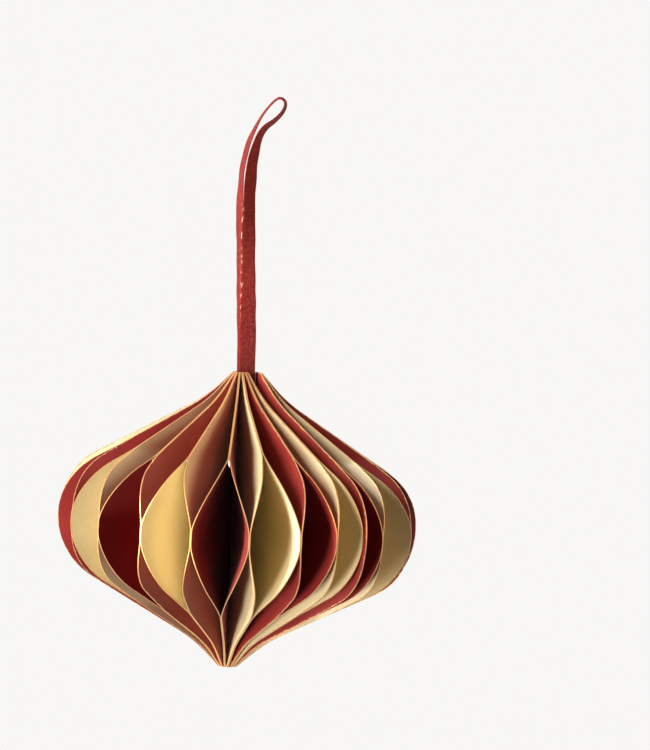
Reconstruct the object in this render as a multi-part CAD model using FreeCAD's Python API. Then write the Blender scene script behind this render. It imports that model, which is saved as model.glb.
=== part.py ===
"""Honeycomb paper ornament: folded paper sheets standing round a hollow core, hung by a ribbon loop.

Millimetres and degrees, +Z up. The origin is the middle of the ball, on the core's axis at its widest level.
A bearing is an angle round the axis, counted from -Y towards +X. Every sheet is cut to the same onion-shaped
outline and folded once down its middle, so that it is two leaves joined at the fold. The folds stand side by side
in a ring, the core. Each sheet's leaves are glued together at one height above and one below the widest level,
and neighbouring sheets are glued rim to rim at the widest level, which opens the honeycomb's cells.
"""

import FreeCAD
import Part
import math
import os
from FreeCAD import Placement, Rotation, Vector

SIZES = (
    ("sheet_pairs", 10, "pairs of one red and one gold sheet round the core"),
    ("paper_thickness", 0.25, "stiff card, about 240 g/m2"),
    ("sheet_height", 82.7, "tip to tip, along the fold"),
    ("sheet_width", 47.6, "fold to rim at the widest level"),
    ("belly_radius", 19.5, "round of the cut edge at the widest level"),
    ("flank_slope", 60.0, "of the straight edge between belly and neck, from the fold's direction"),
    ("neck_radius", 40.0, "hollow round between the flank and the neck"),
    ("neck_slope", 45.0, "of the straight edge beside the tip, from the fold's direction"),
    ("tip_radius", 1.2, "rounded corner of the tip"),
    ("tip_width", 0.3, "flat end of the tip, from the fold to the rounded corner"),
    ("fold_gap", 0.03, "between a sheet's two leaves where they lie together"),
    ("upper_glue_height", 20.2, "where a sheet's leaves are glued together above the widest level"),
    ("lower_glue_height", 23.3, "where they are glued together below it"),
    ("glue_film", 0.06, "between neighbouring sheets where their rims are glued"),
    ("glue_band", 4.4, "height of the band where neighbouring rims lie together"),
    ("cell_roundness", 1.3, "1 gives cells with straight sides, 2 gives round ones"),
    ("fold_clearance", 0.07, "between neighbouring folds, which leave the core's ring at a slant"),
    ("ribbon_play", 1.15, "between the ribbon's edge and the folds at the core's mouth"),
    ("seam_bearing", 44.1, "bearing of the rims of the first and the last sheet, where the ball was closed"),
    ("red_opening", 19.8, "share of the full turn that a red sheet opens to"),
    ("gold_opening", 18.8, "share of the full turn that a gold sheet opens to"),
    ("squeeze", 0.13, "how much less the sheets open on one side of the ball, and more on the other"),
    ("squeeze_bearing", -60.0, "bearing of the side where they open least"),
    ("ribbon_width", 4.5, "narrow woven ribbon"),
    ("ribbon_thickness", 0.5, "narrow woven ribbon"),
)

# Shares of their own opening that the sheets beside the seam are left with: the first, the last and two before it.
SEAM_SHARES = (0.38, 0.56, 0.66, 0.92)

# Facets: heights between the glued band and the glued points, and degrees of turn for each step of a round.
CELL_STEPS = 9
ROUND_STEP = 6.0

# The ribbon's route: x, y, z and how far the strip is turned there from lying flat to the front, in degrees. It comes
# up out of the core in front, closes in a narrow loop that leans to the right, and goes down behind on the left.
RIBBON_ROUTE = (
    (0.55, -1.2, 24.4, 4),
    (0.55, -1.2, 42.5, 4),
    (-2.9, -0.8, 91.0, 40),
    (-1.2, -0.7, 107.5, 62),
    (5.0, 0.0, 112.0, 80),
    (6.4, 0.0, 116.2, 85),
    (3.2, 0.0, 117.6, 85),
    (-2.9, 0.6, 107.6, 78),
    (-5.5, 0.8, 95.0, 70),
    (-3.5, 0.7, 68.0, 62),
    (0.0, 0.05, 42.5, 8),
    (0.15, 0.05, 25.0, 8),
)
# An arc of the route takes this share of the shorter of the two runs that it joins. The strip gets a section every
# few millimetres and degrees of turn.
ARC_SHARE = 0.45
STRIP_STEP = 6.0
STRIP_ROUND_STEP = 12.0


def make_sizes(doc):
    """Puts the driving dimensions into a spreadsheet and returns it, with each alias as a property."""
    table = doc.addObject("Spreadsheet::Sheet", "sizes")
    for row, (alias, value, meaning) in enumerate(SIZES, 1):
        table.set(f"A{row}", alias)
        table.set(f"B{row}", str(value))
        table.set(f"C{row}", meaning)
        table.setAlias(f"B{row}", alias)
    doc.recompute()
    return table


def around(radius, bearing, height=0.0):
    """The point at a radius, bearing and height."""
    angle = math.radians(bearing)
    return Vector(radius * math.sin(angle), -radius * math.cos(angle), height)


class CutOutline:
    """Upper half of a sheet's cut edge, as tangent legs from the widest level up to the tip.

    The heading is the edge's slope from the fold's direction towards the fold. An arc whose heading grows bulges
    outwards, and one whose heading falls is hollow. The two straight legs, flank and neck, take the lengths that
    bring the edge to the tip.
    """

    def __init__(self, size):
        flank, neck = math.radians(size.flank_slope), math.radians(size.neck_slope)
        belly = size.belly_radius
        hollow = size.neck_radius
        corner = size.tip_radius
        rise = size.sheet_height / 2 - belly * math.sin(flank)
        rise -= hollow * (math.sin(flank) - math.sin(neck)) + corner * (1 - math.sin(neck))
        inward = size.sheet_width - size.tip_width - belly * (1 - math.cos(flank))
        inward -= hollow * (math.cos(neck) - math.cos(flank)) + corner * math.cos(neck)
        turn = math.sin(flank - neck)
        flank_length = (inward * math.cos(neck) - rise * math.sin(neck)) / turn
        neck_length = (rise * math.sin(flank) - inward * math.cos(flank)) / turn
        self.width, self.height = size.sheet_width, 0.0
        self.legs = []
        self.add_arc(belly, 0.0, flank)
        self.add_line(flank_length, flank)
        self.add_arc(hollow, flank, neck)
        self.add_line(neck_length, neck)
        self.add_arc(corner, neck, math.pi / 2)

    def add_line(self, length, heading):
        self.legs.append((self.height, self.width, 0.0, heading, heading))
        self.height += length * math.cos(heading)
        self.width -= length * math.sin(heading)

    def add_arc(self, radius, start, end):
        signed = math.copysign(radius, end - start)
        self.legs.append((self.height, self.width, signed, start, end))
        self.height += signed * (math.sin(end) - math.sin(start))
        self.width += signed * (math.cos(end) - math.cos(start))

    def width_at(self, height):
        """Distance from the fold to the cut edge at a height above the widest level."""
        base, width, signed, start, _ = [leg for leg in self.legs if leg[0] <= height + 1e-9][-1]
        if signed == 0.0:
            return width - (height - base) * math.tan(start)
        heading = math.asin(min(1.0, math.sin(start) + (height - base) / signed))
        return width + signed * (math.cos(heading) - math.cos(start))

    def heights_above(self, lowest):
        """The heights that the edge needs points at, above a given height and up to the tip."""
        heights = [self.height]
        for base, _, signed, start, end in self.legs:
            steps = max(1, math.ceil(abs(math.degrees(end - start)) / ROUND_STEP))
            for step in range(steps):
                heading = start + (end - start) * step / steps
                heights.append(base + signed * (math.sin(heading) - math.sin(start)))
        return sorted(height for height in heights if height > lowest + 0.1)


def glued_at(size, height):
    """Distance from the widest level to the glued point above or below it, on a height's side."""
    return size.upper_glue_height if height > 0 else size.lower_glue_height


def sheet_levels(size, outline):
    """Heights of a sheet's facets, from the lower tip to the upper one."""
    band = size.glue_band / 2
    levels = [0.0]
    for side in (-1, 1):
        glued = glued_at(size, side)
        heights = [band + (glued - band) * step / CELL_STEPS for step in range(CELL_STEPS + 1)]
        heights += outline.heights_above(glued)
        levels += [side * height for height in heights]
    return sorted(levels)


def opened(size, height):
    """How far a leaf is opened at a height: 1 in the glued band at the widest level, 0 at the glued points."""
    band = size.glue_band / 2
    share = (abs(height) - band) / (glued_at(size, height) - band)
    return 1 - min(1.0, max(0.0, share)) ** size.cell_roundness


def sheet_section(size, outline, height, angles):
    """The eight corners of a folded sheet at a height, round its V-shaped section.

    x runs from the fold to the rim and y across. Each leaf turns out about its own outer corner at the fold.
    """
    thickness = size.paper_thickness
    width = outline.width_at(abs(height))
    leaves = []
    for side, angle in zip((1, -1), angles):
        turned = angle * opened(size, height)
        out = Vector(math.cos(turned), side * math.sin(turned), 0)
        inward = Vector(math.sin(turned), -side * math.cos(turned), 0) * thickness
        corner = Vector(0, side * (size.fold_gap / 2 + thickness), height)
        rim = corner + out * width
        leaves.append((corner, rim, rim + inward, corner + out * thickness + inward))
    return [*leaves[0], *reversed(leaves[1])]


def triangle(a, b, c):
    return Part.Face(Part.makePolygon([a, b, c, a]))


def skinned(sections, crossed):
    """A solid of flat facets through sections of as many corners each.

    A side is twisted between two sections, so each is two triangles, split by the diagonal that leaves its first
    corner, or by the other one where it is crossed. Those that lie flat are merged again.
    """
    faces = [Part.Face(Part.makePolygon([*end, end[0]])) for end in (sections[0], sections[-1])]
    for lower, upper in zip(sections, sections[1:]):
        for side in range(len(lower)):
            a, b = lower[side], lower[(side + 1) % len(lower)]
            d, c = upper[side], upper[(side + 1) % len(lower)]
            if crossed(side, a.z + d.z):
                faces += [triangle(a, b, d), triangle(b, c, d)]
            else:
                faces += [triangle(a, b, c), triangle(a, c, d)]
    shell = Part.Shell(faces)
    shell.sewShape()
    solid = Part.Solid(shell).removeSplitter()
    if solid.Volume < 0:
        solid.reverse()
    return solid


def sheet_solid(size, outline, levels, angles):
    """One folded sheet as a solid, with the fold along z and the rims towards +x."""
    sections = [sheet_section(size, outline, level, angles) for level in levels]
    return skinned(sections, lambda side, height: (side % 4 == 0) != (height > 0))


def fold_bearing(size, number, count):
    """Bearing of a sheet's fold in the core's ring, counted from the seam."""
    return size.seam_bearing + 360 / count * (number - 0.5)


def rim_bearings(size, count):
    """Bearings where neighbouring rims meet, from the seam once round to the seam again.

    A sheet opens to its colour's share, less on the squeezed side and beside the seam, and all fill the turn.
    """
    openings = []
    for number in range(1, count + 1):
        share = size.red_opening if number % 2 else size.gold_opening
        towards = math.cos(math.radians(fold_bearing(size, number, count) - size.squeeze_bearing))
        from_seam = (count + 1 - number) % count
        if from_seam < len(SEAM_SHARES):
            share *= SEAM_SHARES[from_seam]
        openings.append(share * (1 - size.squeeze * towards))
    scale = 360 / sum(openings)
    bearings = [size.seam_bearing]
    for opening in openings:
        bearings.append(bearings[-1] + opening * scale)
    return bearings


def fold_pitch(size):
    """Distance from one fold to the next where they stand side by side."""
    return 2 * size.paper_thickness + size.fold_gap + size.fold_clearance


def ring_radius(pitch, count):
    return pitch * count / (2 * math.pi)


def fold_end(size, number, count, top):
    """Upper or lower end of a sheet's fold.

    Below, the folds stand side by side in a closed ring. Above, the ribbon spreads the ring's two ends, so the folds
    are also shifted along X, from the first sheet's to the last one's, in a ring that keeps them clear of each other.
    """
    pitch, spread = fold_pitch(size), 0.0
    if top:
        spread = max(0.0, size.ribbon_width / 2 + size.ribbon_play - ring_radius(pitch, count))
        pitch += 2 * spread / (count - 1)
    height = size.sheet_height / 2
    end = around(ring_radius(pitch, count), fold_bearing(size, number, count), height if top else -height)
    end.x += spread * (1 - 2 * (number - 1) / (count - 1))
    return end


def sheet_placement(size, number, count, rims):
    """Stands a sheet on its fold, facing the middle of the two rims that it reaches."""
    top, bottom = (fold_end(size, number, count, top) for top in (True, False))
    middle = (top + bottom) / 2
    facing = Vector()
    for rim in rims:
        facing += (rim - middle).normalize()
    rotation = Rotation(facing, Vector(), top - bottom, "ZXY")
    return Placement(middle, rotation)


def leaf_angles(size, placement, rims):
    """Angle that each leaf opens to, in radians, so that half the glue film lies between it and its rim's place."""
    angles = []
    for side, rim in zip((1, -1), (rims[1], rims[0])):
        reach = placement.inverse().multVec(rim)
        reach -= Vector(0, side * (size.fold_gap / 2 + size.paper_thickness), 0)
        distance = math.hypot(reach.x, reach.y)
        angles.append(math.atan2(side * reach.y, reach.x) - math.asin(size.glue_film / 2 / distance))
    return angles


def make_sheets(doc, size):
    """All folded sheets, numbered round the core from the seam, red and gold in turn."""
    count = 2 * int(size.sheet_pairs)
    outline = CutOutline(size)
    levels = sheet_levels(size, outline)
    bearings = rim_bearings(size, count)
    reach = size.sheet_width + size.ribbon_width / 2
    made = []
    for number in range(1, count + 1):
        rims = [around(reach, bearing) for bearing in bearings[number - 1 : number + 1]]
        placement = sheet_placement(size, number, count, rims)
        sheet = doc.addObject("Part::Feature", f"sheet_{number:02d}")
        sheet.Label = f"{'red' if number % 2 else 'gold'}_sheet_{number:02d}"
        sheet.Shape = sheet_solid(size, outline, levels, leaf_angles(size, placement, rims))
        sheet.Placement = placement
        made.append(sheet)
    return made


def rounded_route(points):
    """Straight runs joined by tangent arcs through a list of points, as a list of edges in turn."""
    edges, last = [], points[0]
    for before, at, after in zip(points, points[1:], points[2:]):
        back, on = before - at, after - at
        half_turn = (math.pi - back.getAngle(on)) / 2
        shortened = ARC_SHARE * min(back.Length, on.Length)
        radius = shortened / math.tan(half_turn)
        back.normalize()
        on.normalize()
        inwards = (back + on).normalize()
        middle = at + inwards * radius * (1 / math.cos(half_turn) - 1)
        start, end = at + back * shortened, at + on * shortened
        edges += [Part.LineSegment(last, start).toShape(), Part.Arc(start, middle, end).toShape()]
        last = end
        print(f"ribbon turns {math.degrees(2 * half_turn):.1f} degrees at radius {radius:.1f} mm")
    edges.append(Part.LineSegment(last, points[-1]).toShape())
    return edges


def between(knots, place):
    """The value at a place along a list of (place, value) knots, in proportion between two of them."""
    for (start, before), (end, after) in zip(knots, knots[1:]):
        if place <= end:
            return before + (after - before) * (place - start) / (end - start)
    return knots[-1][1]


def strip_section(size, centre, heading, turn):
    """The four corners of the ribbon's section, turned about its heading from lying flat to the front."""
    flat = Vector(0, 1, 0).cross(heading).normalize()
    wide = flat * math.cos(math.radians(turn)) + heading.cross(flat) * math.sin(math.radians(turn))
    side, face = wide * size.ribbon_width / 2, heading.cross(wide) * size.ribbon_thickness / 2
    return [centre + side + face, centre - side + face, centre - side - face, centre + side - face]


def strip_sections(size, edges):
    """The ribbon's sections along its route. The middle of each arc has the turn of the point that it rounds."""
    ends = [0.0]
    for edge in edges:
        ends.append(ends[-1] + edge.Length)
    places = [0.0, *((start + end) / 2 for start, end in zip(ends[1::2], ends[2::2])), ends[-1]]
    knots = list(zip(places, [point[3] for point in RIBBON_ROUTE]))
    sections = []
    for edge, start in zip(edges, ends):
        first, last = edge.FirstParameter, edge.LastParameter
        bend = math.degrees(edge.tangentAt(first).getAngle(edge.tangentAt(last)))
        steps = math.ceil(max(edge.Length / STRIP_STEP, bend / STRIP_ROUND_STEP))
        for step in range(steps + (edge is edges[-1])):
            at = first + (last - first) * step / steps
            turn = between(knots, start + edge.Length * step / steps)
            sections.append(strip_section(size, edge.valueAt(at), edge.tangentAt(at), turn))
    return sections


def make_ribbon(doc, size):
    """The hanging ribbon, one flat strip that turns about its own route."""
    edges = rounded_route([Vector(*point[:3]) for point in RIBBON_ROUTE])
    ribbon = doc.addObject("Part::Feature", "ribbon")
    ribbon.Label = "hanging_ribbon"
    ribbon.Shape = skinned(strip_sections(size, edges), lambda side, height: False)
    length = sum(edge.Length for edge in edges)
    expected = size.ribbon_width * size.ribbon_thickness * length
    print(f"ribbon {length:.1f} mm long, {ribbon.Shape.Volume:.1f} mm3, expected {expected:.1f} mm3")
    return ribbon


def check(doc, parts):
    """Stops if an object failed or a sub-part isn't a valid solid."""
    for thing in doc.Objects:
        if "Invalid" in thing.State or "Error" in thing.State:
            raise RuntimeError(f"{thing.Label} failed: {thing.State}")
    for part in parts:
        if part.Shape.isNull() or not part.Shape.isValid() or len(part.Shape.Solids) != 1:
            raise RuntimeError(f"{part.Label} isn't one valid solid")


document = FreeCAD.newDocument("honeycomb_ornament")
sizes = make_sizes(document)
sub_parts = [*make_sheets(document, sizes), make_ribbon(document, sizes)]
document.recompute()
check(document, sub_parts)
os.makedirs("parts", exist_ok=True)
for sub_part in sub_parts:
    sub_part.Shape.exportStep(os.path.join("parts", f"{sub_part.Label}.step"))
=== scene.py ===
"""Dresses the honeycomb paper ornament: the woven ribbon, the folded sheets with gilded cut edges, and dried glue.

The modelled forms keep to the solids' sizes, in millimetres, and become metres where a mesh is made. A bearing is an
angle round the axis, in degrees from -Y towards +X. A noise's scale is a count per metre.
"""

import math

import bpy
import numpy as np
from mathutils import Matrix, Vector


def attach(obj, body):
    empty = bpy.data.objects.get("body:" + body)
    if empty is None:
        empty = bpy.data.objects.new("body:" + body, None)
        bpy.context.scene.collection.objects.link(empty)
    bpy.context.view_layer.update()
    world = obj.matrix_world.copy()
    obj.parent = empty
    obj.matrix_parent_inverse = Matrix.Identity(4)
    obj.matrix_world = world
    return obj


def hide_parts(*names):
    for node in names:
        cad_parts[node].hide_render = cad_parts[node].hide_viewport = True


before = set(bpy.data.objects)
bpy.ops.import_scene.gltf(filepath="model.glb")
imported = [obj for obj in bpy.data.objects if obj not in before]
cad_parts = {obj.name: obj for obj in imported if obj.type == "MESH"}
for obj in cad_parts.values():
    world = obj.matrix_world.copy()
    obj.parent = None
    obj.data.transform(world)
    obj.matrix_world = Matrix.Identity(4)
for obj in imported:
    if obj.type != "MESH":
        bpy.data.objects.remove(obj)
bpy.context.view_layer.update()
MM = 0.001

# ---- Camera ---------------------------------------------------------------------------------------------------------
# A long lens a little above the widest level. The ornament hangs from the ribbon with its axis leaning to the right,
# which the camera's roll gives, and it stands low and left in the picture.
DISTANCE = 0.9
ELEVATION = math.radians(6.5)
LEAN = math.radians(3.75)

look = Vector((0, math.cos(ELEVATION), -math.sin(ELEVATION)))
level = Vector((1, 0, 0))
upright = level.cross(look)
right = level * math.cos(LEAN) + upright * math.sin(LEAN)
up = upright * math.cos(LEAN) - level * math.sin(LEAN)
camera = bpy.data.objects.new("camera", bpy.data.cameras.new("camera"))
bpy.context.scene.collection.objects.link(camera)
bpy.context.scene.camera = camera
camera.data.sensor_fit = "VERTICAL"
camera.data.sensor_height = 36
camera.data.lens = 155
camera.data.shift_x = 0.1177
camera.data.shift_y = 0.1927
turn = Matrix((right, up, -look)).transposed()
camera.matrix_world = Matrix.Translation(-look * DISTANCE) @ turn.to_4x4()


# ---- Hanging ribbon -------------------------------------------------------------------------------------------------
# One narrow strip of woven polyester, glued into the core with both ends. It rises flat to the front, turns edge-on
# towards the loop's top and comes down behind on the left, nearly edge-on, until it lies flat again at the core.
SHARP_ANGLE = math.radians(35)


def new_piece(name, points, faces, material, attributes=()):
    """A mesh object at the origin from points in millimetres, smooth but for edges sharper than an angle."""
    mesh = bpy.data.meshes.new(name)
    mesh.from_pydata((points * MM).tolist(), [], faces)
    for attribute, values in attributes:
        layer = mesh.attributes.new(attribute, "FLOAT", "POINT")
        layer.data.foreach_set("value", values.astype(np.float32))
    mesh.materials.append(material)
    mesh.polygons.foreach_set("use_smooth", np.ones(len(mesh.polygons), dtype=bool))
    mesh.set_sharp_from_angle(angle=SHARP_ANGLE)
    mesh.update()
    piece = bpy.data.objects.new(name, mesh)
    bpy.context.scene.collection.objects.link(piece)
    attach(piece, "root")
    return piece


def tube_faces(rings, sides):
    """Quads of a tube of rings, each a closed loop of as many points, and a many-sided face at each end."""
    ring, step = np.meshgrid(np.arange(rings - 1), np.arange(sides), indexing="ij")
    a, b = ring * sides + step, ring * sides + (step + 1) % sides
    quads = np.stack([a, b, b + sides, a + sides], axis=-1).reshape(-1, 4)
    ends = [np.arange(sides)[::-1], np.arange(sides) + (rings - 1) * sides]
    return [*quads.tolist(), *(end.tolist() for end in ends)]


def colour(code):
    """Linear red, green, blue and alpha of an sRGB hex colour."""
    channels = [int(code[i : i + 2], 16) / 255 for i in (1, 3, 5)]
    return [*(c / 12.92 if c <= 0.04045 else ((c + 0.055) / 1.055) ** 2.4 for c in channels), 1.0]


def add_node(tree, kind, **inputs):
    """Adds a node, with values or links for its inputs, and settings where a name isn't an input's.

    An input whose name other inputs share is given by its place, such as in6.
    """
    node = tree.nodes.new("ShaderNode" + kind)
    for name, value in inputs.items():
        socket = node.inputs.get(name.replace("_", " "))
        if name[:2] == "in" and name[2:].isdigit():
            socket = node.inputs[int(name[2:])]
        if socket is None:
            setattr(node, name, value)
        elif isinstance(value, bpy.types.NodeSocket):
            tree.links.new(value, socket)
        else:
            socket.default_value = value
    return node


def new_material(name):
    """An empty material, and its tree to add nodes to."""
    material = bpy.data.materials.new(name)
    material.use_nodes = True
    material.node_tree.nodes.clear()
    return material, material.node_tree


def finish_material(material, tree, shader):
    """Links the last shader to an output and spreads the nodes out in rows of eight."""
    add_node(tree, "OutputMaterial", Surface=shader)
    for place, node in enumerate(tree.nodes):
        node.location = (220 * (place % 8), -260 * (place // 8))
    return material


# Millimetres along the strip from its front end, and across it from its middle line. Painted shade darkens the
# strip towards the ornament's mouth, painted light lifts the front strand and painted shade darkens the back one, and
# the painted glints count their distance from the loop's top on both strands.
RIB_SPACING, WARP_SPACING = 0.42, 0.36
PAINTED_SHADE_TO, UNSHADED_FROM = 14.0, 44.0
LIFTED_TO, LOOP_TOP, DARKENED_FROM = 86.0, 96.0, 104.0
GLINTS_FROM, GLINTS_TO, GLINTS_RIM = (30.0, 38.0), (66.0, 60.0), (-1.7, -1.95)
STREAK_LENGTH, STREAK_WIDTH = 1.3, 0.4
# Noises: flecks of thread 0.7 mm apart, faded patches of 8 mm, and waves of 4 mm in the line of painted glints.
FLECKS, PATCHES, WAVES = 1500.0, 120.0, 260.0
DEEP_RED, CLEAR_RED, THREAD_RED = "#6e1514", "#88231f", "#aa443d"
GLINT_PINK, SHEEN_PINK = "#f6c4b0", "#f09088"


def woven_red():
    """Velvety polyester grosgrain: fine ribs across, flecks of thread, a pale sheen at grazing light.

    It is painted darker towards the ornament's mouth, as painted shade where it goes in among the sheets' tips. Its
    front strand is painted lighter and its back strand, beyond the loop's top, darker: painted light and shade for
    how the turned strands catch the lamps. Broken pale streaks down one rim are painted glints of highlight.
    """
    material, tree = new_material("woven_red_ribbon")
    along = add_node(tree, "Attribute", attribute_name="along_mm").outputs["Fac"]
    across = add_node(tree, "Attribute", attribute_name="across_mm").outputs["Fac"]
    ribs = add_node(tree, "Math", operation="MULTIPLY", in0=along, in1=math.tau / RIB_SPACING).outputs[0]
    ribs = add_node(tree, "Math", operation="SINE", in0=ribs).outputs[0]
    warp = add_node(tree, "Math", operation="MULTIPLY", in0=across, in1=math.tau / WARP_SPACING).outputs[0]
    warp = add_node(tree, "Math", operation="SINE", in0=warp).outputs[0]
    weave = add_node(tree, "Math", operation="MULTIPLY", in0=ribs, in1=warp).outputs[0]
    where = add_node(tree, "TexCoord").outputs["Object"]
    flecks = add_node(tree, "TexNoise", Vector=where, Scale=FLECKS, Detail=3.0).outputs["Fac"]
    patches = add_node(tree, "TexNoise", Vector=where, Scale=PATCHES, Detail=2.0).outputs["Fac"]
    tone = add_node(tree, "MapRange", Value=patches, From_Min=0.3, From_Max=0.7).outputs[0]
    base = add_node(tree, "Mix", data_type="RGBA", in0=tone, in6=colour(DEEP_RED), in7=colour(CLEAR_RED)).outputs[2]
    lift = add_node(tree, "MapRange", Value=flecks, From_Min=0.42, From_Max=0.7, To_Max=0.6).outputs[0]
    base = add_node(tree, "Mix", data_type="RGBA", in0=lift, in6=base, in7=colour(THREAD_RED)).outputs[2]
    # Painted shade: the colour is darkened to 0.42 inside the ball and lightens to full 44 mm along, towards the loop.
    mouth_shade = add_node(tree, "MapRange", Value=along, From_Min=PAINTED_SHADE_TO, From_Max=UNSHADED_FROM,
                      To_Min=0.42, To_Max=1.0).outputs[0]
    # Painted light and shade: the front strand's colour is lifted by 1.3, and the back strand's darkened to 0.93.
    painted_strand_light = add_node(tree, "MapRange", Value=along, From_Min=LIFTED_TO, From_Max=DARKENED_FROM,
                   To_Min=1.3, To_Max=0.93).outputs[0]
    for shade in (mouth_shade, painted_strand_light):
        base = add_node(tree, "Mix", data_type="RGBA", blend_type="MULTIPLY", in0=1.0, in6=base, in7=shade).outputs[2]

    # Painted glints: broken pale pink streaks of highlight down one rim of both strands, 30 to 66 mm from the loop's
    # top.
    from_top = add_node(tree, "Math", operation="SUBTRACT", in0=along, in1=LOOP_TOP).outputs[0]
    from_top = add_node(tree, "Math", operation="ABSOLUTE", in0=from_top).outputs[0]
    lengthways = add_node(tree, "Math", operation="DIVIDE", in0=along, in1=STREAK_LENGTH).outputs[0]
    sideways = add_node(tree, "Math", operation="DIVIDE", in0=across, in1=STREAK_WIDTH).outputs[0]
    streak = add_node(tree, "CombineXYZ", X=lengthways, Y=sideways).outputs[0]
    painted_glints = add_node(tree, "TexNoise", Vector=streak, Scale=1.0, Detail=2.0).outputs["Fac"]
    painted_glints = add_node(tree, "MapRange", Value=painted_glints, From_Min=0.52, From_Max=0.6).outputs[0]
    wander = add_node(tree, "TexNoise", Vector=where, Scale=WAVES, Detail=1.0).outputs["Fac"]
    wander = add_node(tree, "MapRange", Value=wander, From_Min=0.3, From_Max=0.7,
                      To_Min=-0.35, To_Max=0.35).outputs[0]
    rim = add_node(tree, "Math", operation="ADD", in0=across, in1=wander).outputs[0]
    for value, (none, full) in ((from_top, GLINTS_FROM), (from_top, GLINTS_TO), (rim, GLINTS_RIM)):
        part = add_node(tree, "MapRange", Value=value, From_Min=none, From_Max=full).outputs[0]
        painted_glints = add_node(tree, "Math", operation="MULTIPLY", in0=painted_glints, in1=part).outputs[0]
    base = add_node(tree, "Mix", data_type="RGBA", in0=painted_glints, in6=base, in7=colour(GLINT_PINK)).outputs[2]

    height = add_node(tree, "Math", operation="ADD", in0=weave, in1=flecks).outputs[0]
    bump = add_node(tree, "Bump", Height=height, Strength=0.8, Distance=0.1 * MM).outputs[0]
    shader = add_node(tree, "BsdfPrincipled", Base_Color=base, Roughness=0.72, Normal=bump, Sheen_Weight=0.25,
                      Sheen_Roughness=0.35, Sheen_Tint=colour(SHEEN_PINK), Specular_IOR_Level=0.2).outputs[0]
    return finish_material(material, tree, shader)


# The route's points, x, y, z and how far the strip is turned there from lying flat to the front, in degrees: up in
# front, round a narrow loop that leans to the right, and down behind on the left.
RIBBON_ROUTE = np.array([
    (0.55, -1.2, 24.4, 4), (0.55, -1.2, 42.5, 4), (-2.9, -0.8, 91.0, 40), (-1.2, -0.7, 107.5, 62),
    (5.0, 0.0, 112.0, 80), (6.4, 0.0, 116.2, 85), (3.2, 0.0, 117.6, 85), (-2.9, 0.6, 107.6, 78),
    (-5.5, 0.8, 95.0, 70), (-3.5, 0.7, 68.0, 62), (0.0, 0.05, 42.5, 8), (0.15, 0.05, 25.0, 8),
])
RIBBON_WIDTH, RIBBON_THICKNESS = 4.5, 0.5
# Half of the strip's section, from rim to rim: places across it, as shares of half its width, and its rise there.
SECTION_ACROSS = (-1, -0.97, -0.8, -0.45, 0, 0.45, 0.8, 0.97, 1)
SECTION_RISE = (0, 0.6, 0.95, 0.8, 0.78, 0.8, 0.95, 0.6, 0)
RISE_SHARE = 0.4
RING_STEP, RINGS_AVERAGED = 0.22, 41
# The weft's loops along the rims, how far the rims wander in and out, and how far the faces ruffle.
RIM_INSET, LOOP_SPACING, LOOP_HEIGHT, RIM_WANDER = 0.1, 0.7, 0.12, 0.06
RUFFLE, HELD_END = 0.1, 22


def smooth_line(route):
    """Points along the smooth curve that a list of points controls, in millimetres."""
    curve = bpy.data.curves.new("ribbon_line", "CURVE")
    curve.dimensions = "3D"
    curve.resolution_u = 64
    spline = curve.splines.new("NURBS")
    spline.points.add(len(route) - 1)
    for point, place in zip(spline.points, route):
        point.co = (*(value * MM for value in place), 1)
    spline.order_u = 3
    spline.use_endpoint_u = True
    holder = bpy.data.objects.new("ribbon_line", curve)
    line = bpy.data.meshes.new_from_object(holder)
    points = np.array([vertex.co[:] for vertex in line.vertices]) / MM
    bpy.data.objects.remove(holder)
    bpy.data.curves.remove(curve)
    bpy.data.meshes.remove(line)
    return points


def lengths_along(points):
    """The length of a line of points up to each of them: the sum of the steps before it."""
    return np.concatenate([[0], np.cumsum(np.linalg.norm(np.diff(points, axis=0), axis=1))])


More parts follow.
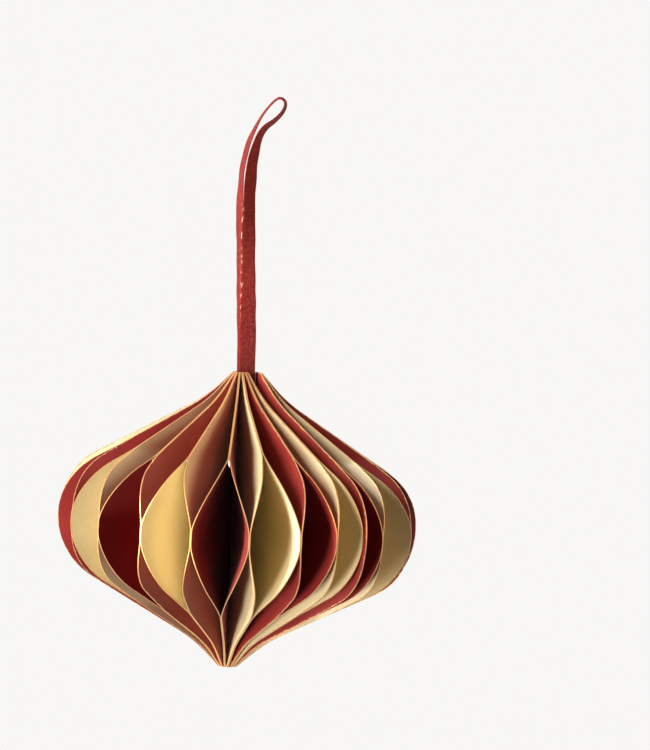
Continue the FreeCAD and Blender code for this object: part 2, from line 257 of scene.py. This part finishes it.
def ribbon_strip(line):
    """The strip carried along a line: its points, its faces, and each point's place along and across it.

    Turned by a from flat, the strip lies along w = cos(a) (Y x T) + sin(a) T x (Y x T), with T the line's tangent. At
    a length s its rims are scalloped by |sin(pi s / 0.7)| and wander by sin(s / 1.7 + 2 sin(s / 6.1)), and its faces
    ruffle by sin(s / 3.1) u + 0.6 sin(s / 1.3 + 1) u**2 at a share u of its width, but not at its held ends.
    """
    lengths, knots = lengths_along(line), lengths_along(RIBBON_ROUTE[:, :3])
    at = np.linspace(0, lengths[-1], int(lengths[-1] / RING_STEP) + 1)
    centre = np.stack([np.interp(at, lengths, line[:, axis]) for axis in range(3)], axis=1)
    tangent = np.gradient(centre, axis=0)
    tangent /= np.linalg.norm(tangent, axis=1, keepdims=True)
    flat = np.cross([0.0, 1.0, 0.0], tangent)
    flat /= np.linalg.norm(flat, axis=1, keepdims=True)
    turned = np.radians(np.interp(at / at[-1], knots / knots[-1], RIBBON_ROUTE[:, 3]))
    turned = np.pad(turned, RINGS_AVERAGED // 2, mode="edge")
    turned = np.convolve(turned, np.ones(RINGS_AVERAGED) / RINGS_AVERAGED, mode="valid")[:, None]
    wide = flat * np.cos(turned) + np.cross(tangent, flat) * np.sin(turned)
    thick = np.cross(tangent, wide)

    share = np.array([*SECTION_ACROSS, *SECTION_ACROSS[-2:0:-1]])
    rise = np.array([*SECTION_RISE, *(-value for value in SECTION_RISE[-2:0:-1])])
    loops = LOOP_HEIGHT * np.abs(np.sin(math.pi * at / LOOP_SPACING))
    loops = loops + RIM_WANDER * np.sin(at / 1.7 + 2 * np.sin(at / 6.1))
    near_rim = np.clip(np.abs(share) * 2 - 1, 0, 1)
    width = share * (RIBBON_WIDTH / 2 - RIM_INSET + loops[:, None] * near_rim)
    free = np.sin(math.pi * np.clip((at - HELD_END) / (at[-1] - 2 * HELD_END), 0, 1))[:, None]
    ruffle = np.sin(at / 3.1)[:, None] * share + np.sin(at / 1.3 + 1)[:, None] * share**2 * 0.6
    ruffle = RUFFLE * free * ruffle
    points = centre[:, None, :] + wide[:, None, :] * width[:, :, None]
    points += thick[:, None, :] * (rise * RIBBON_THICKNESS * RISE_SHARE + ruffle)[:, :, None]
    return points.reshape(-1, 3), tube_faces(len(at), len(share)), np.repeat(at, len(share)), width.ravel()


ribbon_line = smooth_line(RIBBON_ROUTE[:, :3])
points, faces, along, across = ribbon_strip(ribbon_line)
ribbon = new_piece("woven_ribbon", points, faces, woven_red(), [("along_mm", along), ("across_mm", across)])
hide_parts("hanging_ribbon")

# ---- Folded sheets --------------------------------------------------------------------------------------------------
# Each sheet of dyed card is folded down its middle and stands on its fold in the core's ring. Its two leaves are glued
# together above and below the widest level, and to the neighbours' rims at that level, and sway a little between.
PAIRS = 10
COUNT = 2 * PAIRS
THICKNESS = 0.25
HEIGHT, WIDTH = 82.7, 47.6
# The cut edge from the widest level up: an arc of the belly, a straight flank, a hollow arc, a straight neck, and the
# rounded corner of the tip. The angles are the straight parts' slopes.
BELLY, FLANK, HOLLOW, NECK, CORNER, TIP = 19.5, math.radians(60), 40.0, math.radians(45), 1.2, 0.3
ROUND_OFF = 1e-9
FOLD_GAP = 0.03
# Heights above and below the widest level where the leaves close, with single sheets that differ.
UPPER_GLUE, LOWER_GLUE, GLUE_BAND, GLUE_FILM = 20.2, 23.3, 4.4, 0.06
CLOSED_HIGHER = {15: -0.7, 17: 0.1, 18: 1.5}
UNEVEN_GLUE = 0.5
ROUNDNESS, CREASE = 1.3, 0.0006
# The folds' ring is wider at the top, where the ribbon comes out, and is open there beside the seam.
BETWEEN_FOLDS, BESIDE_RIBBON = 0.07, 1.15
PITCH = 2 * THICKNESS + FOLD_GAP + BETWEEN_FOLDS
RING = PITCH * COUNT / math.tau
SPREAD = RIBBON_WIDTH / 2 + BESIDE_RIBBON - RING
TOP_RING = RING + SPREAD * COUNT / (COUNT - 1) / math.pi
# The red and the gold sheets' shares of the circle, less for those beside the seam and on the side that is squeezed.
SEAM = 44.1
SHARES = (19.8, 18.8)
SEAM_SHARES = (0.38, 0.56, 0.66, 0.92)
SQUEEZE, SQUEEZE_BEARING = 0.13, -60
RIM_REACH = WIDTH + RIBBON_WIDTH / 2


def outline_legs():
    """Legs of the upper half of the cut edge, each as height, width, signed radius and slope at its start.

    The two straight legs' lengths come from the rise and the inward run that the four arcs leave to them.
    """
    rise = HEIGHT / 2 - BELLY * math.sin(FLANK) - HOLLOW * (math.sin(FLANK) - math.sin(NECK))
    rise -= CORNER * (1 - math.sin(NECK))
    inward = WIDTH - TIP - BELLY * (1 - math.cos(FLANK)) - HOLLOW * (math.cos(NECK) - math.cos(FLANK))
    inward -= CORNER * math.cos(NECK)
    turned = math.sin(FLANK - NECK)
    flank = (inward * math.cos(NECK) - rise * math.sin(NECK)) / turned
    neck = (rise * math.sin(FLANK) - inward * math.cos(FLANK)) / turned
    legs, height, width = [], 0.0, WIDTH
    for radius, start, end, length in (
        (BELLY, 0, FLANK, 0), (0, FLANK, FLANK, flank), (-HOLLOW, FLANK, NECK, 0), (0, NECK, NECK, neck),
        (CORNER, NECK, math.pi / 2, 0),
    ):
        legs.append((height, width, radius, start))
        height += radius * (math.sin(end) - math.sin(start)) + length * math.cos(start)
        width += radius * (math.cos(end) - math.cos(start)) - length * math.sin(start)
    return legs


def cut_edge(heights):
    """Width of the sheet, and the cut edge's slope: w = w0 + r (cos s - cos s0) with sin s = sin s0 + (h - h0) / r."""
    heights = np.abs(heights)
    width, slope = np.zeros_like(heights), np.zeros_like(heights)
    for base, start_width, radius, start in outline_legs():
        above = heights >= base - ROUND_OFF
        if radius == 0:
            width = np.where(above, start_width - (heights - base) * math.tan(start), width)
            slope = np.where(above, start, slope)
        else:
            here = np.arcsin(np.clip(math.sin(start) + (heights - base) / radius, -1, 1))
            width = np.where(above, start_width + radius * (np.cos(here) - math.cos(start)), width)
            slope = np.where(above, here, slope)
    return width, slope


def opened(heights, glued):
    """How far a leaf is open: 1 - s**1.3, with s from the glued band to the glued point, rounded where it closes."""
    band = GLUE_BAND / 2
    share = np.clip((np.abs(heights) - band) / (glued - band), 0, None)
    open_share = 1 - share ** ROUNDNESS
    return (open_share + np.sqrt(open_share**2 + CREASE)) / (1 + math.sqrt(1 + CREASE))


def around(radius, bearing, height=0.0):
    """The point at a radius, bearing and height: (r sin b, -r cos b, h)."""
    return Vector((radius * math.sin(math.radians(bearing)), -radius * math.cos(math.radians(bearing)), height))


def fold_bearing(number):
    """Bearing of a sheet's fold: the folds are evenly spaced, from half a space past the seam."""
    return SEAM + 360 / COUNT * (number - 0.5)


def rim_bearings():
    """Bearings where neighbouring rims meet, from the seam once round to the seam again.

    A sheet takes the share of its colour, less beside the seam, times 1 - 0.13 cos(its bearing - the squeezed side's).
    """
    shares = []
    for number in range(1, COUNT + 1):
        from_seam = (COUNT + 1 - number) % COUNT
        beside_seam = SEAM_SHARES[from_seam] if from_seam < len(SEAM_SHARES) else 1
        squeezed = 1 - SQUEEZE * math.cos(math.radians(fold_bearing(number) - SQUEEZE_BEARING))
        shares.append(SHARES[(number + 1) % 2] * beside_seam * squeezed)
    return SEAM + np.concatenate([[0], np.cumsum(shares)]) * 360 / sum(shares)


def sheet_frame(number, rims):
    """The sheet's own frame, z along its fold and x to the middle of its rims, and the angle of each leaf."""
    top = around(TOP_RING, fold_bearing(number), HEIGHT / 2)
    top.x += SPREAD * (1 - 2 * (number - 1) / (COUNT - 1))
    foot = around(RING, fold_bearing(number), -HEIGHT / 2)
    middle = (top + foot) / 2
    z = (top - foot).normalized()
    facing = sum(((rim - middle).normalized() for rim in rims), Vector())
    x = (facing - z * facing.dot(z)).normalized()
    turn = Matrix((x, z.cross(x), z)).transposed()
    angles = []
    for side, rim in ((1, rims[1]), (-1, rims[0])):
        reach = turn.transposed() @ (rim - middle) - Vector((0, side * (FOLD_GAP / 2 + THICKNESS), 0))
        distance = math.hypot(reach.x, reach.y)
        angles.append(math.atan2(side * reach.y, reach.x) - math.asin(GLUE_FILM / 2 / distance))
    return np.array(turn), np.array(middle), angles


# The mesh's rows are even over the open cell, then wider apart, and then by the tip's turns in degrees.
OPEN_ROWS, CLOSED_ROWS, COLUMNS = 34, 22, 21
PAST_GLUE, ROW_GAP = 2, 1
TIP_TURNS = (45, 52, 60, 68, 77, 84, 90)
# How far ripples move an open and a closed leaf, in millimetres, and how far the closed leaves sway, in degrees. A
# ripple's waves are so many millimetres tall, and there are so many across a leaf.
OPEN_RIPPLE, CLOSED_RIPPLE, SWAY = 0.22, 0.3, 0.9
RIPPLE_TALL, RIPPLE_ACROSS = (9, 22), (0.6, 1.6)
SHEET_SEED, RIPPLE_SEED = 400, 50
# The folded spine's bend, in degrees, with its radius's share at which the outer faces begin.
FOLD_TURNS, BEND_START = (50, 0, -50), 0.8
FAR_FROM_EDGE = 9.0


def ripple(seed, along_fold, share):
    """Slow unevenness of a leaf: three seeded waves sin(2 pi (h / tall + u wide) + phase), times sin(pi u**0.8)."""
    random = np.random.default_rng(seed)
    out = np.zeros(np.broadcast(along_fold, share).shape)
    for _ in range(3):
        tall, wide, phase = random.uniform(*RIPPLE_TALL), random.uniform(*RIPPLE_ACROSS), random.uniform(0, math.tau)
        out += np.sin(along_fold * math.tau / tall + share * wide * math.tau + phase) / 3
    return out * np.sin(math.pi * share**0.8)


def sheet_rows():
    """Heights of the mesh's rows, from the lower tip to the upper one."""
    tip_base = outline_legs()[-1][0]
    tip = tip_base + CORNER * (np.sin(np.radians(TIP_TURNS)) - math.sin(NECK))
    halves = []
    for even_to in (LOWER_GLUE + PAST_GLUE, UPPER_GLUE + PAST_GLUE):
        wider = np.linspace(even_to + ROW_GAP, tip_base, CLOSED_ROWS)[:-1]
        halves.append(np.concatenate([np.linspace(0, even_to, OPEN_ROWS), wider, tip]))
    below, above = halves
    return np.concatenate([-below[:0:-1], above])


def sheet_surface(number, frame_of_sheet):
    """Closed skin of one folded sheet and its distance from the cut edge.

    A point of a leaf at height h and share u of its width lies at (u w cos a, side (g + u w sin a)), a = angle o(h),
    less the thickness inwards on the inner face, moved across by the ripples and by the sway of the closed leaves.
    """
    turn, middle, angles = frame_of_sheet
    random = np.random.default_rng(SHEET_SEED + number)
    heights = sheet_rows()
    shift_up, shift_down = random.uniform(-UNEVEN_GLUE, UNEVEN_GLUE, 2)
    glued = np.where(heights > 0, UPPER_GLUE + CLOSED_HIGHER.get(number, shift_up), LOWER_GLUE + shift_down)
    width, slope = cut_edge(heights)
    share_open = opened(heights, glued)
    sways = np.radians(random.uniform(-SWAY, SWAY, 2))
    sway = (np.where(heights > 0, sways[0], sways[1]) * (1 - share_open))[:, None]
    share = np.linspace(0, 1, COLUMNS)
    fold_radius = FOLD_GAP / 2 + THICKNESS
    rings, distances = [], []
    for side, angle, joint in ((1, angles[0], number), (-1, angles[1], number - 1)):
        turned = (angle * share_open)[:, None]
        shift = OPEN_RIPPLE * share_open[:, None] * ripple(joint % COUNT, heights[:, None], share)
        shift = shift + CLOSED_RIPPLE * (1 - share_open[:, None]) * (width / WIDTH)[:, None] * ripple(
            RIPPLE_SEED + number, heights[:, None], share)
        for inner in (False, True):
            reach = THICKNESS * inner + (width[:, None] - THICKNESS * inner) * share
            x = reach * np.cos(turned) + inner * THICKNESS * np.sin(turned)
            y = side * (fold_radius + reach * np.sin(turned) - inner * THICKNESS * np.cos(turned)) + shift
            rings.append(np.stack([x * np.cos(sway) - y * np.sin(sway), x * np.sin(sway) + y * np.cos(sway),
                                   np.broadcast_to(heights[:, None], x.shape)], axis=-1))
            distances.append((1 - share)[None, :] * (width * np.cos(slope))[:, None])
    outer, inner, outer_back, inner_back = rings
    bend = [np.stack([np.full_like(heights, fold_radius * (1 - math.cos(a))),
                      np.full_like(heights, fold_radius * math.sin(a)), heights], axis=-1)[:, None, :]
            for a in np.radians(FOLD_TURNS)]
    outer[:, 0, 0] = outer_back[:, 0, 0] = fold_radius * BEND_START
    loop = np.concatenate([outer[:, ::-1], *bend, outer_back, inner_back[:, ::-1], inner], axis=1)
    far = np.full((len(heights), len(bend)), FAR_FROM_EDGE)
    distance = np.concatenate(
        [distances[0][:, ::-1], far, distances[2], distances[3][:, ::-1], distances[1]], axis=1)
    return loop.reshape(-1, 3) @ turn.T + middle, tube_faces(*loop.shape[:2]), distance.ravel()


# Noises: clouds of 11 mm in the pearly coat, fibres 0.4 mm apart, which is coarser than real ones so that they show,
# and a grain of 1.4 mm in the foil's edge.
CLOUDS, FIBRES, GRAIN = 90.0, 2600.0, 700.0
GILT, COPPERY_GILT = "#e6b970", "#d69a70"


def card(name, light, deep, sheen, gloss):
    """Dyed card with a pearly mica coat, 240 g/m2, and a cut edge gilded with foil.

    The coat gives a soft, pale gloss that is faintly cloudy. The foil is a thin bright line, uneven where it bled onto
    the faces.
    """
    material, tree = new_material(name)
    where = add_node(tree, "TexCoord").outputs["Object"]
    cloud = add_node(tree, "TexNoise", Vector=where, Scale=CLOUDS, Detail=3.0).outputs["Fac"]
    fibre = add_node(tree, "TexNoise", Vector=where, Scale=FIBRES, Detail=4.0, Roughness=0.65).outputs["Fac"]
    grain = add_node(tree, "TexNoise", Vector=where, Scale=GRAIN, Detail=2.0).outputs["Fac"]
    tone = add_node(tree, "MapRange", Value=cloud, From_Min=0.32, From_Max=0.68).outputs[0]
    base = add_node(tree, "Mix", data_type="RGBA", in0=tone, in6=colour(light), in7=colour(deep)).outputs[2]
    spots = add_node(tree, "MapRange", Value=fibre, From_Min=0.35, From_Max=0.7, To_Min=0.93, To_Max=1.05).outputs[0]
    base = add_node(tree, "Mix", data_type="RGBA", blend_type="MULTIPLY", in0=1.0, in6=base, in7=spots).outputs[2]
    rough = add_node(tree, "MapRange", Value=grain, From_Min=0.3, From_Max=0.7, To_Min=0.42, To_Max=0.52).outputs[0]
    bump = add_node(tree, "Bump", Height=fibre, Strength=0.25, Distance=0.03 * MM).outputs[0]
    paper = add_node(tree, "BsdfPrincipled", Base_Color=base, Roughness=rough, Normal=bump, Specular_IOR_Level=gloss,
                     Sheen_Weight=sheen, Sheen_Roughness=0.4, Coat_Weight=0.12, Coat_Roughness=0.35).outputs[0]
    foil = add_node(tree, "Mix", data_type="RGBA", in0=tone, in6=colour(GILT), in7=colour(COPPERY_GILT)).outputs[2]
    foil_bump = add_node(tree, "Bump", Height=grain, Strength=0.5, Distance=0.06 * MM).outputs[0]
    gilt = add_node(tree, "BsdfPrincipled", Base_Color=foil, Metallic=0.5, Roughness=0.42,
                    Normal=foil_bump).outputs[0]
    edge = add_node(tree, "Attribute", attribute_name="from_edge_mm").outputs["Fac"]
    bleed = add_node(tree, "MapRange", Value=grain, From_Min=0.4, From_Max=0.75, To_Min=0.05, To_Max=0.3).outputs[0]
    covered = add_node(tree, "Math", operation="LESS_THAN", in0=edge, in1=bleed).outputs[0]
    shader = add_node(tree, "MixShader", in0=covered, in1=paper, in2=gilt).outputs[0]
    return finish_material(material, tree, shader)


cards = {
    "red": card("pearly_red_card", "#973130", "#8a2a28", sheen=0.12, gloss=0.2),
    "gold": card("pearly_gold_card", "#efe1b5", "#eddaaa", sheen=0.18, gloss=0.55),
}
bearings = rim_bearings()
sheet_frames = {}
for number in range(1, COUNT + 1):
    hue = "red" if number % 2 else "gold"
    rims = [around(RIM_REACH, bearing) for bearing in bearings[number - 1 : number + 1]]
    sheet_frames[number] = sheet_frame(number, rims)
    points, faces, distance = sheet_surface(number, sheet_frames[number])
    sheet = new_piece(f"{hue}_paper_{number:02d}", points, faces, cards[hue], [("from_edge_mm", distance)])
    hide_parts(f"{hue}_sheet_{number:02d}")

# ---- Dried glue -----------------------------------------------------------------------------------------------------
# The folds are glued together in the core. A little glue has run down from where the leaves close, on the inside along
# a cut edge, and dried as a glossy drop. The front sheet has the largest one, and the others are seeded.
FRONT_SHEET = 17
DROP_LENGTHS, DROP_RADII = (0.5, 1.1), (0.1, 0.16)
DROP_RINGS, DROP_SIDES = 13, 12
DROP_SEED = 77
MILK, CREAM = "#fbf7f0", "#e6ded2"
# A noise of milky clouds, 0.6 mm apart.
MILKY_CLOUDS = 1800.0


def glue_drop(number, side, below, inwards, length, radius):
    """A drop along a leaf's cut edge, below the closed part: r = R sqrt(1 - s**2) (1 + 0.4 s), s from -1 to 1."""
    turn, middle, angles = sheet_frames[number]
    angle = angles[0] if side > 0 else angles[1]
    closed = UPPER_GLUE + CLOSED_HIGHER.get(number, 0)
    heights = np.array([closed - below - length / 2, closed - below + length / 2])
    turned = angle * opened(heights, closed)
    reach = cut_edge(heights)[0] - inwards
    x = reach * np.cos(turned) + THICKNESS * np.sin(turned)
    y = side * (FOLD_GAP / 2 + THICKNESS + reach * np.sin(turned) - THICKNESS * np.cos(turned))
    low, high = np.stack([x, y, heights], axis=1)
    line = (high - low) / np.linalg.norm(high - low)
    across = np.cross(line, [1.0, 0.0, 0.0])
    across /= np.linalg.norm(across)
    outwards = np.cross(across, line)
    s = np.sin(np.radians(np.linspace(-88, 88, DROP_RINGS)))[:, None, None]
    round_it = np.linspace(0, math.tau, DROP_SIDES, endpoint=False)[None, :, None]
    wide = radius * np.sqrt(1 - s**2) * (1 + 0.4 * s)
    points = (low + high) / 2 + line * s * length / 2 + wide * (
        across * np.cos(round_it) + outwards * np.sin(round_it) * 0.8)
    return points.reshape(-1, 3) @ turn.T + middle, tube_faces(DROP_RINGS, DROP_SIDES)


def dried_glue():
    """Clear PVA glue that has dried with a skin: milky in places and very smooth, which gives small sharp glints."""
    material, tree = new_material("dried_glue")
    where = add_node(tree, "TexCoord").outputs["Object"]
    cloud = add_node(tree, "TexNoise", Vector=where, Scale=MILKY_CLOUDS, Detail=3.0).outputs["Fac"]
    base = add_node(tree, "Mix", data_type="RGBA", in0=cloud, in6=colour(MILK), in7=colour(CREAM)).outputs[2]
    rough = add_node(tree, "MapRange", Value=cloud, From_Min=0.35, From_Max=0.7, To_Min=0.08, To_Max=0.25).outputs[0]
    bump = add_node(tree, "Bump", Height=cloud, Strength=0.2, Distance=0.05 * MM).outputs[0]
    shader = add_node(tree, "BsdfPrincipled", Base_Color=base, Roughness=rough, Normal=bump, IOR=1.47,
                      Transmission_Weight=0.45).outputs[0]
    return finish_material(material, tree, shader)


random = np.random.default_rng(DROP_SEED)
drop_points, drop_faces = [], []
for number in range(1, COUNT + 1):
    if number == FRONT_SHEET:
        side, length, radius, gap, inwards = 1, 3.4, 0.3, -0.5, -0.08
    else:
        side, length, radius = random.choice([-1, 1]), random.uniform(*DROP_LENGTHS), random.uniform(*DROP_RADII)
        gap, inwards = 0.7, 0.35
    points, faces = glue_drop(number, side, gap + length / 2, inwards, length, radius)
    start = sum(len(some) for some in drop_points)
    drop_faces += [[corner + start for corner in face] for face in faces]
    drop_points.append(points)
glue = dried_glue()
new_piece("dried_glue_drops", np.concatenate(drop_points), drop_faces, glue)

# The folds stand round an uneven column of glue, from the foot of the core to just over the ribbon's ends. Its radius
# is that of the folds' ring, less a little, plus sin(h / 2.3 + 2 b) and sin(h / 0.9 - 3 b) waves round the bearing b.
COLUMN_FOOT, COLUMN_TOP = 0.8 - HEIGHT / 2, 26.0
COLUMN_RINGS, COLUMN_SIDES = 90, 24

heights = np.linspace(COLUMN_FOOT, COLUMN_TOP, COLUMN_RINGS)[:, None]
turns = np.linspace(0, math.tau, COLUMN_SIDES, endpoint=False)
radii = RING - 0.12 + 0.05 * np.sin(heights / 2.3 + 2 * turns) + 0.04 * np.sin(heights / 0.9 - 3 * turns)
column = np.stack([radii * np.sin(turns), radii * -np.cos(turns), np.broadcast_to(heights, radii.shape)], axis=-1)
new_piece("core_glue", column.reshape(-1, 3), tube_faces(COLUMN_RINGS, COLUMN_SIDES), glue)

# ---- Light and backdrop ---------------------------------------------------------------------------------------------
# A tall soft light on the left and a weaker one low on the left reach a little way into the cells, and a warm one fills
# weakly from the upper right. The pale surroundings show to camera, glossy and transmitted rays only, and light the
# object dimly, so that the cells stay dark.
DIM_LIGHT, PALE_GREY = "#fff4ea", "#f8f7f5"


def area_light(name, bearing, elevation, distance, size, power, tint):
    """A soft light of some width and height that faces the middle of the ball."""
    light = bpy.data.lights.new(name, "AREA")
    light.shape = "RECTANGLE"
    light.size, light.size_y = size
    light.energy = power
    light.color = colour(tint)[:3]
    holder = bpy.data.objects.new(name, light)
    bpy.context.scene.collection.objects.link(holder)
    flat = distance * math.cos(math.radians(elevation))
    place = around(flat, bearing, distance * math.sin(math.radians(elevation)))
    holder.matrix_world = Matrix.Translation(place) @ (-place).to_track_quat("-Z", "Y").to_matrix().to_4x4()


area_light("key_left", bearing=-57, elevation=14, distance=1.1, size=(0.24, 1.0), power=27.5, tint="#fff5ea")
area_light("key_low", bearing=-50, elevation=-32, distance=1.1, size=(0.24, 0.5), power=12, tint="#fff4e8")
area_light("fill_right", bearing=74, elevation=24, distance=1.3, size=(0.8, 0.8), power=9.8, tint="#ffdeba")
world = bpy.data.worlds.new("pale_surroundings")
bpy.context.scene.world = world
world.use_nodes = True
world.node_tree.nodes.clear()
rays = add_node(world.node_tree, "LightPath")
dim = add_node(world.node_tree, "Background", Color=colour(DIM_LIGHT), Strength=0.06).outputs[0]
pale = add_node(world.node_tree, "Background", Color=colour(PALE_GREY), Strength=1.0).outputs[0]
shown = rays.outputs["Is Camera Ray"]
for ray in ("Is Glossy Ray", "Is Transmission Ray"):
    shown = add_node(world.node_tree, "Math", operation="MAXIMUM", in0=shown, in1=rays.outputs[ray]).outputs[0]
seen = add_node(world.node_tree, "MixShader", in0=shown, in1=dim, in2=pale).outputs[0]
add_node(world.node_tree, "OutputWorld", Surface=seen)
bpy.context.scene.view_settings.view_transform = "Standard"
